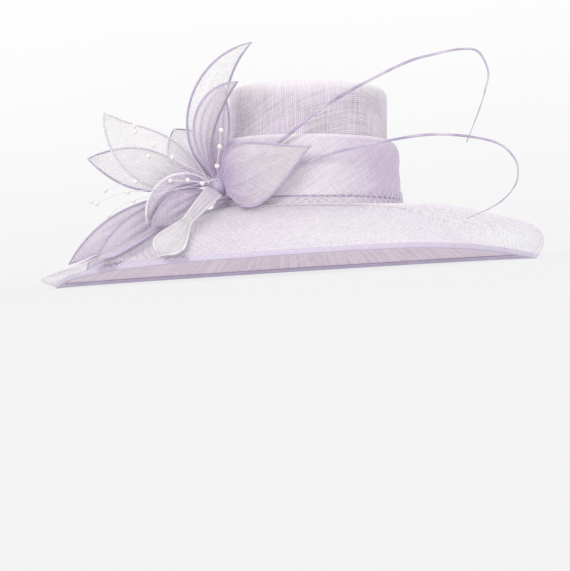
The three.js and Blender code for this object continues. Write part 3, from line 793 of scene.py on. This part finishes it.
# length and width are shares of the flower's reach, and angles are in degrees
petalColumns = ("length", "width", "heading", "bend", "late", "forward", "curl", "roll", "twist", "cup",
                "belly", "neck", "layer", "point")
petals = {
    "petal_tall": (0.963, 0.25, 108, -80, 1.3, 0, 4, 8, 10, 0.25, 0.38, 0.12, -0.2, 0.85),
    "petal_upright": (0.688, 0.188, 111, -86, 1.3, 14, 2, 46, -10, 0.3, 0.55, 0.17, 0.5, 0.85),
    "petal_inner": (0.575, 0.2, 98, -26, 1, 2, 0, 10, 0, 0.25, 0.5, 0.15, 0.1, 0.85),
    "petal_back": (0.425, 0.287, 132, -10, 1, -8, 0, 0, 0, 0.2, 0.6, 0.12, -0.6, 0.85),
    "petal_large_left": (0.8, 0.35, 159, -40, 2, 6, 6, 4, 0, 0.25, 0.45, 0.1, 0.3, 0.85),
    "petal_low_left": (0.787, 0.275, 166, 4, 1, -2, 0, 0, 0, 0.2, 0.55, 0.12, -0.15, 0.85),
    "petal_curled": (0.556, 0.163, 170, 90, 1, 30, -8, -25, 0, 0.5, 0.45, 0.2, 0.7, 0.85),
    "petal_tongue": (0.99, 0.2, 233, 10, 1.5, 56, 6, 10, 0, 0.3, 0.76, 0.6, 0.93, 1.4),
    "petal_wide_right": (0.656, 0.412, 18, 8, 1, 42, -40, 0, 0, -0.12, 0.3, 0.4, 0.84, 1.1),
    "leaf_outer": (1.006, 0.188, 199, 24, 1.4, 10, 0, 0, 0, 0.2, 0.55, 0.17, -0.1, 0.85),
    "leaf_inner": (0.945, 0.188, 204, 30, 1.4, 25, 0, 0, 0, 0.2, 0.55, 0.17, 0.3, 0.85),
    "leaf_pleated": (0.525, 0.188, 210, 8, 1, 38, 0, 0, 0, 0.2, 0.5, 0.17, 0.7, 0.85),
}
petalLooks = {
    # centre colour, outer colour, how much the straw covers, piping
    "petal_tall": ((0.82, 0.74, 0.87), (0.98, 0.96, 0.98), 0.24, "lilac"),
    "petal_upright": ((0.72, 0.60, 0.81), (0.97, 0.92, 0.97), 0.5, "lilac"),
    "petal_inner": ((0.66, 0.53, 0.76), (0.90, 0.83, 0.93), 0.6, "lilac"),
    "petal_back": ((0.74, 0.66, 0.81), (0.92, 0.87, 0.94), 0.4, "lilac"),
    "petal_large_left": ((0.76, 0.68, 0.81), (0.99, 0.97, 0.98), 0.34, "white"),
    "petal_low_left": ((0.74, 0.66, 0.80), (0.96, 0.93, 0.96), 0.38, "lilac"),
    "petal_curled": ((0.42, 0.30, 0.55), (0.86, 0.78, 0.91), 0.8, "white"),
    "petal_tongue": ((0.80, 0.73, 0.85), (0.97, 0.95, 0.97), 0.8, "white"),
    "petal_wide_right": ((0.64, 0.51, 0.75), (0.97, 0.92, 0.96), 0.62, "lilac"),
    "leaf_outer": ((0.62, 0.51, 0.72), (0.89, 0.82, 0.92), 0.6, "lilac"),
    "leaf_inner": ((0.62, 0.51, 0.72), (0.89, 0.82, 0.92), 0.62, "lilac"),
    "leaf_pleated": ((0.50, 0.38, 0.62), (0.84, 0.76, 0.89), 0.75, "lilac"),
}


def bloomMiddle():
    turn = radians(flower["turn"])
    seat = crownPoint(turn, band["stand"] + 0.001, hat["seatHeight"] + flower["rise"])
    off = Vector((cos(turn) / hat["crownWidth"], sin(turn) / hat["crownDepth"], 0)).normalized()
    reach = hypot(off.x * flower["knotWidth"] / 2, off.y * flower["knotDepth"] / 2)
    return seat + off * (reach + band["ripple"] + hat["gap"])


bloom = bloomMiddle()


def onKnot(turn, layer, clear):
    radius = flower["knotWidth"] / 2 * sqrt(1 - layer * layer) + clear
    turn = radians(turn)
    back = -layer * flower["knotDepth"] / 2
    return bloom + Vector((radius * cos(turn), back, radius * sin(turn)))


def halfWidth(petal, share):
    power = log(0.5) / log(petal["belly"])
    swell = max(sin(pi * share**power), 0) ** petal["point"]
    half = petal["width"] * flower["reach"] / 2
    return max(half * max(swell, petal["neck"] * (1 - share)), flower["tip"])


# Veil rows, from the band outwards: place across the brim, and share of the side's puff
veil = {
    "lift": 0.0022, "puffRight": 0.029, "puffLeft": 0.008, "bulgeRight": 0.008, "bulgeLeft": 0.015,
    "hemDrop": 0.0045, "wall": 0.0008, "skirt": 0.14,
    # where the net starts, across the brim and over it
    "start": 0.125, "startLift": 0.0012,
    "rows": [(0.16, 0.2), (0.36, 0.55), (0.56, 0.7), (0.76, 0.85), (0.92, 0.95)],
}


def rightward(angle):
    return max(0, cos(angle)) ** 3


def leftward(angle):
    return max(0, -cos(angle)) ** 4


def sidePuff(angle):
    return veil["puffRight"] * rightward(angle) + veil["puffLeft"] * leftward(angle)


def veilHeight(point):
    # height of the veil at a place beside the crown, or nothing beyond its skirt
    low = atan2(point.y, point.x) - 0.5
    high = low + 1
    for _ in range(18):
        angle = (low + high) / 2
        seat, edge = brimPoint(angle, 0), brimPoint(angle, 1)
        runX, runY = edge.x - seat.x, edge.y - seat.y
        x, y = point.x - seat.x, point.y - seat.y
        share = (x * runX + y * runY) / (runX * runX + runY * runY)
        if runX * y - runY * x > 0:
            low = angle
        else:
            high = angle
    if share < veil["rows"][0][0] or share > 1 + veil["skirt"]:
        return -1
    share = min(share, 1)
    lift = rim["wall"] + veil["lift"] + sidePuff(angle) * smoothValue(veil["rows"], share) + veil["wall"] / 2
    return brimPoint(angle, share).z + lift / abs(brimNormal(angle, share).z)


def laidOnVeil(point):
    # a blade that reaches the veil comes forward over it, down the slope of the brim
    rest = leanTurn @ point

    def sunk(back):
        return veilHeight(rest - Vector((0, back, 0))) + flower["clear"] > rest.z

    if not sunk(0):
        return point
    stride = rim["reachFront"] / 64
    far = stride
    while far < rim["reachFront"] / 2 and sunk(far):
        far += stride
    near = far - stride
    for _ in range(8):
        middle = (near + far) / 2
        if sunk(middle):
            near = middle
        else:
            far = middle
    return toWorn(rest - Vector((0, far, 0)))


def bladeColumns(half):
    # (place across, half thickness): piped edges and thin cloth between them
    pipe = min(flower["piping"], half * flower["pipingShare"])
    cloth = min(flower["cloth"] / 2, pipe * 0.6)
    bead = [(-half + pipe * inward, pipe * level) for inward, level in flower["bead"]]
    inner = half - 2.1 * pipe
    columns = [(-inner + 2 * inner * k / flower["columns"], cloth) for k in range(flower["columns"] + 1)]
    return bead + columns + [(-across, level) for across, level in reversed(bead)]


def bladeGrid(petal):
    at = onKnot(petal["heading"], petal["layer"], 2 * hat["gap"])
    grid = []
    for i in range(flower["steps"] + 1):
        share = i / flower["steps"]
        heading = radians(petal["heading"] + petal["bend"] * share ** petal["late"])
        forward = radians(petal["forward"] + petal["curl"] * share)
        along = Vector((cos(forward) * cos(heading), -sin(forward),
                        cos(forward) * sin(heading)))
        across = Vector((-sin(heading), 0, cos(heading)))
        across.rotate(Matrix.Rotation(radians(petal["roll"] + petal["twist"] * share), 3, along))
        face = across.cross(along)
        half = halfWidth(petal, share)
        row = []
        for offset, _ in bladeColumns(half):
            side = offset / half
            wave = sin(side * flower["gathers"] + petal["heading"])
            gather = flower["gather"] * wave * max(0, 1 - side * side)
            gather *= sin(pi * min(share * 1.3, 1)) * min(half / 0.012, 1)
            row.append(laidOnVeil(at + across * offset + face * (half * petal["cup"] * side * side + gather)))
        grid.append(row)
        at = at + along * (petal["length"] * flower["reach"] / flower["steps"])
    return grid


def bladeSection(grid, i, half):
    # both faces of the blade at one place along it, set off square to its middle
    before, row, after = grid[max(i - 1, 0)], grid[i], grid[min(i + 1, len(grid) - 1)]
    upper, lower = [], []
    for j, (_, level) in enumerate(bladeColumns(half)):
        across = row[min(j + 1, len(row) - 1)] - row[max(j - 1, 0)]
        away = across.cross(after[j] - before[j]).normalized() * level
        upper.append(wornPoint(row[j] + away))
        lower.insert(0, wornPoint(row[j] - away))
    return upper + lower


def cutSize(grid):
    # the blade's width, length and area laid flat: where it is drawn over the veil it is cut no wider
    middle = len(grid[0]) // 2
    length = runAlong([row[middle] for row in grid])[-1]
    widths = sorted(runAlong(row)[-1] for row in grid)
    width = widths[int(len(widths) * flower["cutShare"])]
    area = 0
    for row, ahead in zip(grid, grid[1:]):
        for j in range(len(row) - 1):
            area += (ahead[j + 1] - row[j]).cross(ahead[j] - row[j + 1]).length / 2
    return (width, length), min(area, width * length)


def makePetal(name):
    petal = dict(zip(petalColumns, petals[name]))
    centre, outer, cover, piping = petalLooks[name]
    steps = flower["steps"]
    halves = [halfWidth(petal, i / steps) for i in range(steps + 1)]
    grid = bladeGrid(petal)
    rows = [bladeSection(grid, i, half) for i, half in enumerate(halves)]
    count = len(rows[0])
    length = petal["length"] * flower["reach"]
    columns = [bladeColumns(half) for half in halves]

    def offset(i, j):
        j = j % count
        return columns[i][j if j < count // 2 else count - 1 - j][0]

    def cloth(i, j):
        return offset(i, j), length * i / steps

    def place(i, j):
        return offset(i, j) / halves[i], i / steps

    piece = gridMesh(name + "_straw", rows, cloth=cloth, place=place)
    capEnds(piece, range(count), range(len(piece.data.vertices) - count, len(piece.data.vertices)))
    facesOutward(piece)
    materials = [petalStraw(name + "Straw", centre, outer, cover), pipings[piping]]
    finishPiece(piece, materials, [name], smooth=60)
    chart = piece.data.uv_layers["place"].data
    for face in piece.data.polygons:
        sides = [abs(chart[corner].uv.x) for corner in face.loop_indices]
        row = min(max(round(chart[face.loop_indices[0]].uv.y * steps), 0), steps)
        piped = 1 - 1.5 * min(flower["piping"] / halves[row], flower["pipingShare"])
        face.material_index = 1 if sum(sides) / len(sides) > piped else 0
    flat, area = cutSize(grid)


def makeKnot():
    # straw wound round the roots of the blades
    selectNothing()
    bpy.ops.mesh.primitive_uv_sphere_add(segments=40, ring_count=20, radius=flower["knotWidth"] / 2)
    piece = bpy.context.object
    piece.name = "flower_knot_wrap"
    stretch = flower["knotDepth"] / flower["knotWidth"]
    for vertex in piece.data.vertices:
        turn = atan2(vertex.co.z, vertex.co.x)
        wound = 1 - 0.05 * (0.5 + 0.5 * sin(5 * turn + vertex.co.y * 700))
        vertex.co.x *= wound
        vertex.co.z *= wound
        vertex.co.y *= stretch
    piece.data.transform(Matrix.Translation(standing) @ leanTurn @ Matrix.Translation(bloom))
    facesOutward(piece)
    finish = Finish("knotStraw", Roughness=0.6, Sheen_Weight=0.25)
    x, y, z = finish.place()
    threads = strawThreads(finish, x + y, z - y, straw["finePitch"], 0.6)
    colour = finish.mix(threads.spread(0.25, 0.6), (0.40, 0.33, 0.52), (0.70, 0.64, 0.79))
    material = finish.feed(Base_Color=colour, Normal=finish.bump(threads, 0.0005, 0.7))
    finishPiece(piece, [material], ["flower_knot"])


pipings = {
    "lilac": pipingCloth("pipingLilac", (0.74, 0.65, 0.83), (0.48, 0.38, 0.61)),
    "white": pipingCloth("pipingWhite", (1.0, 0.985, 1.0), (0.84, 0.79, 0.88)),
}
makeKnot()
for name in petals:
    makePetal(name)

print("making the quills")
quills = {
    # reach, then shares of it from the knot's middle: across to the right, up and forward
    "quill_upper": (0.273, [
        (0.0285, 0.0168, 0.05), (0.14, 0.096, 0.118), (0.235, 0.16, 0.148), (0.414, 0.298, 0.165),
        (0.666, 0.434, 0.155), (0.797, 0.476, 0.15), (0.893, 0.494, 0.145), (0.955, 0.484, 0.14),
        (0.99, 0.414, 0.14), (0.981, 0.352, 0.14), (0.958, 0.275, 0.14), (0.912, 0.156, 0.14)]),
    "quill_lower": (0.301, [
        (0.033, 0, 0.045), (0.125, 0.012, 0.102), (0.19, 0.031, 0.126), (0.381, 0.103, 0.15),
        (0.612, 0.153, 0.15), (0.729, 0.165, 0.15), (0.841, 0.157, 0.15), (0.929, 0.135, 0.15),
        (0.976, 0.095, 0.15), (0.994, 0.051, 0.15), (0.983, -0.005, 0.15), (0.928, -0.063, 0.15),
        (0.825, -0.112, 0.17)]),
}
quill = {
    "thickness": 0.0034, "tip": 0.0009, "taper": 1.6, "knuckle": 0.00008, "knuckles": 70,
    "steps": 8, "sides": 12,
}


def makeQuill(name):
    reach, rows = quills[name]
    points = [wornPoint(bloom + Vector((across, -forward, up)) * reach) for across, up, forward in rows]
    path = smoothPath(points, quill["steps"])
    radii = []
    for i in range(len(path)):
        share = i / (len(path) - 1)
        knuckle = quill["knuckle"] * sin(share * quill["knuckles"])
        thick = quill["thickness"] + (quill["tip"] - quill["thickness"]) * share ** quill["taper"]
        radii.append(thick / 2 + knuckle)
    piece = makeRod(name + "_horn", path, radii, quill["sides"])
    finishPiece(piece, [quillFinish], [name])


quillFinish = quillHorn()
for name in quills:
    makeQuill(name)

print("making the stamens")
stamens = {
    # root on the knot in degrees, and number of pearls
    "up": (80, 3), "cup": (168, 3), "high": (128, 3), "short": (119, 2), "left": (138, 2), "long": (186, 3),
    "low": (106, 2),
}
stamen = {
    "ring": 0.85, "wire": 0.0007, "sides": 8, "steps": 8, "pearl": 0.005,
    # how far the last pearl is run on to its wire
    "sunk": 0.45, "lipWidth": 0.00012, "lipDepth": 0.0002,
}
wireFinish = stamenWire()
pearlFinish = pearlShell()


def makePearl():
    # a bead with the lip of its bore at each pole
    selectNothing()
    bpy.ops.mesh.primitive_uv_sphere_add(segments=20, ring_count=12, radius=stamen["pearl"] / 2)
    bead = bpy.context.object
    for end in (1, -1):
        pickParts(bead, "FACE", lambda face: face.normal.z * end > 0.96)
        bpy.ops.mesh.inset(thickness=stamen["lipWidth"], depth=-stamen["lipDepth"])
    switchTo("OBJECT")
    return bead


def makeStamen(name, pattern):
    turn, count = stamens[name]
    nodes = [f"pearl_{name}_{i + 1}" for i in range(count)]
    places = [boxMiddle(node) for node in nodes]
    start = wornPoint(onKnot(turn, stamen["ring"], 2 * hat["gap"]))
    end = places[-1] + (places[-2] - places[-1]).normalized() * stamen["pearl"] * stamen["sunk"]
    path = smoothPath([start, *places[:-1], end], stamen["steps"])
    wire = makeRod(f"stamen_{name}_wire", path, [stamen["wire"] / 2] * len(path), stamen["sides"])
    finishPiece(wire, [wireFinish], [f"stamen_wire_{name}"])
    for i, node in enumerate(nodes):
        ahead = places[min(i + 1, count - 1)] - (places[i - 1] if i else start)
        bead = addObject(node + "_bead", pattern.data.copy())
        turned = ahead.to_track_quat("Z", "Y").to_matrix().to_4x4()
        bead.data.transform(Matrix.Translation(places[i]) @ turned)
        finishPiece(bead, [pearlFinish], [node])


patternPearl = makePearl()
for name in stamens:
    makeStamen(name, patternPearl)
bpy.data.objects.remove(patternPearl)

print("making the veil")
netting = {
    "around": 190, "across": 22, "thread": 0.0005, "cut": (0.23, 0.95), "cover": 0.3,
    "frillAround": 76, "frillAcross": 2, "frillThread": 0.0009, "frillOut": 0.003,
    "frillLow": 0.009, "frillHigh": 0.01,
}


def veilProfile(angle):
    # the veil's line from the band, over the brim and down outside the binding
    puff = sidePuff(angle)
    points = [overBrim(angle, veil["start"], rim["wall"] + veil["startLift"])]
    for share, part in veil["rows"]:
        points.append(overBrim(angle, share, rim["wall"] + veil["lift"] + puff * part))
    bulge = veil["bulgeRight"] * rightward(angle) + veil["bulgeLeft"] * leftward(angle)
    outside = -2 * hat["gap"] - bulge
    points.append(rimPoint(angle, outside, binding["height"] + veil["lift"] / 2 + puff / 2))
    hem = binding["height"] - veil["hemDrop"] * 0.7
    points.append(rimPoint(angle, -3 * hat["gap"] - veil["wall"] / 2, hem))
    return points


def alongProfile(points, count):
    # evenly spaced points on a smooth line
    fine = smoothPath(points, 12)
    run = runAlong(fine)
    spaced = []
    k = 0
    for i in range(count + 1):
        want = run[-1] * i / count
        while k + 2 < len(run) and run[k + 1] < want:
            k += 1
        spaced.append(fine[k].lerp(fine[k + 1], (want - run[k]) / (run[k + 1] - run[k])))
    return spaced


def frillProfile(angle):
    # the net's gathered edge stands against the band's foot, highest on the right
    high = netting["frillLow"] + netting["frillHigh"] * rightward(angle + 0.5)
    out, stand = band["foot"] + netting["frillOut"], band["stand"] + netting["frillOut"]
    foot = bandFootHeight(angle, out)
    line = [(out, foot + 0.0008), (stand + 0.001, foot + high / 2), (stand, foot + high)]
    return [leanTurn @ crownPoint(angle, away, height) for away, height in line]


def netLattice(name, profile, around, across, thread):
    # diamonds between lines that run out from the crown, then threads along their sides
    profiles = [alongProfile(profile(i / (2 * around) * fullTurn), 2 * across) for i in range(2 * around)]
    points, index, faces = [], {}, []
    for j in range(2 * across + 1):
        for i in range(j % 2, 2 * around, 2):
            index[i, j] = len(points)
            points.append(profiles[i][j] + standing)
    for j in range(1, 2 * across):
        for i in range((j + 1) % 2, 2 * around, 2):
            corners = [(i, j - 1), ((i + 1) % (2 * around), j), (i, j + 1), ((i - 1) % (2 * around), j)]
            faces.append([index[corner] for corner in corners])
    mesh = bpy.data.meshes.new(name)
    mesh.from_pydata(points, [], faces)
    mesh.validate()
    piece = addObject(name, mesh)
    applyModifier(piece, "WIREFRAME", thickness=thread, use_even_offset=False, use_boundary=True)
    return piece


def makeNetting():
    size = netting["around"], netting["across"], netting["thread"]
    cloth = netLattice("net_veil_cloth", veilProfile, *size)
    size = netting["frillAround"], netting["frillAcross"], netting["frillThread"]
    frill = netLattice("net_veil_frill", frillProfile, *size)
    piece = joinPieces("net_veil_threads", [cloth, frill])
    finishPiece(piece, [netFinish], ["net_veil"], smooth=80)


netFinish = netThread()
makeNetting()

print("setting the studio")
studio = {"floorSize": 9.0, "wallHeight": 5.0, "wallPlace": 2.2, "bend": 0.9, "near": 0.01}


def makeBackdrop():
    selectNothing()
    bpy.ops.mesh.primitive_plane_add(size=studio["floorSize"])
    piece = bpy.context.object
    piece.name = "backdrop"
    half = studio["floorSize"] / 2

    def backEdge(place):
        # edges on the floor that lie at this place or behind it
        def wanted(edge):
            ends = [piece.data.vertices[v].co for v in edge.vertices]
            return all(end.y > place - studio["near"] and end.z < studio["near"] for end in ends)
        return wanted

    pickParts(piece, "EDGE", backEdge(half))
    bpy.ops.transform.translate(value=(0, studio["wallPlace"] - half, 0))
    bpy.ops.mesh.extrude_region_move(TRANSFORM_OT_translate={"value": (0, 0, studio["wallHeight"])})
    pickParts(piece, "EDGE", backEdge(studio["wallPlace"]))
    bpy.ops.mesh.bevel(offset=studio["bend"], segments=16)
    switchTo("OBJECT")
    bpy.ops.object.shade_smooth()
    # a glowing sweep, so that floor and wall meet without an edge: its painted glow, dimmer near and low,
    # also lights the hat from below
    finish = Finish("paleSweep", Roughness=1.0, Specular_IOR_Level=0.0, Emission_Strength=1.0)
    tone = finish.cloud(1.3, 1.0)
    _, depth, height = finish.place()
    far = (depth * 0.3 + height).spread(0.1, 1.4)
    finish.feed(Base_Color=finish.mix(tone, (0.10, 0.10, 0.10), (0.12, 0.12, 0.12)),
                Emission_Color=finish.mix(far, (0.77, 0.77, 0.78), (0.90, 0.90, 0.905)))
    piece.data.materials.append(finish.material)


makeBackdrop()
# name: size across and along, place, power, colour
lamps = {
    "keyLamp": (1.2, 0.9, (-1.2, -2.0, 1.2), 22, (1.0, 0.985, 0.97)),
    "skyLamp": (2.0, 1.8, (0.2, 0.3, 2.2), 13, (1.0, 0.985, 0.99)),
    "sideLamp": (1.0, 0.9, (1.7, -1.5, 0.8), 9, (1.0, 0.975, 0.985)),
}
lampAim = Vector((0, 0, 0.1))
for title, (across, along, place, power, colour) in lamps.items():
    light = bpy.data.lights.new(title, "AREA")
    light.shape = "RECTANGLE"
    light.size, light.size_y = across, along
    light.energy = power
    light.color = colour
    lamp = addObject(title, light)
    lamp.location = place
    lamp.rotation_euler = (lampAim - lamp.location).to_track_quat("-Z", "Y").to_euler()
    lamp.visible_camera = False

world = bpy.data.worlds.new("paleRoom")
bpy.context.scene.world = world
world.use_nodes = True
room = world.node_tree.nodes["Background"].inputs
room["Color"].default_value = (0.96, 0.94, 0.95, 1)
room["Strength"].default_value = 0.55
bpy.context.scene.view_settings.view_transform = "Standard"
bpy.context.scene.cycles.transparent_max_bounces = 32

# The photo is level in the worn hat's frame, so the camera shares the hat's lean.
view = {
    "across": -0.0247, "distance": 1.6, "height": 0.0104, "aim": -0.0140,
    # in pixels of the photo, and the sensor in millimetres
    "focal": 1490.6, "side": 571, "sensor": 36,
}
camera = addObject("camera", bpy.data.cameras.new("camera"))
camera.data.sensor_width = view["sensor"]
camera.data.lens = view["focal"] * view["sensor"] / view["side"]
camera.data.clip_start = 0.01
eye = wornPoint(Vector((view["across"], -view["distance"], view["height"])))
aim = wornPoint(Vector((view["across"], 0, view["aim"])))
forward = (aim - eye).normalized()
up = leanTurn.to_3x3() @ Vector((0, 0, 1))
right = forward.cross(up).normalized()
turned = Matrix((right, right.cross(forward), -forward)).transposed().to_4x4()
camera.matrix_world = Matrix.Translation(eye) @ turned
bpy.context.scene.camera = camera
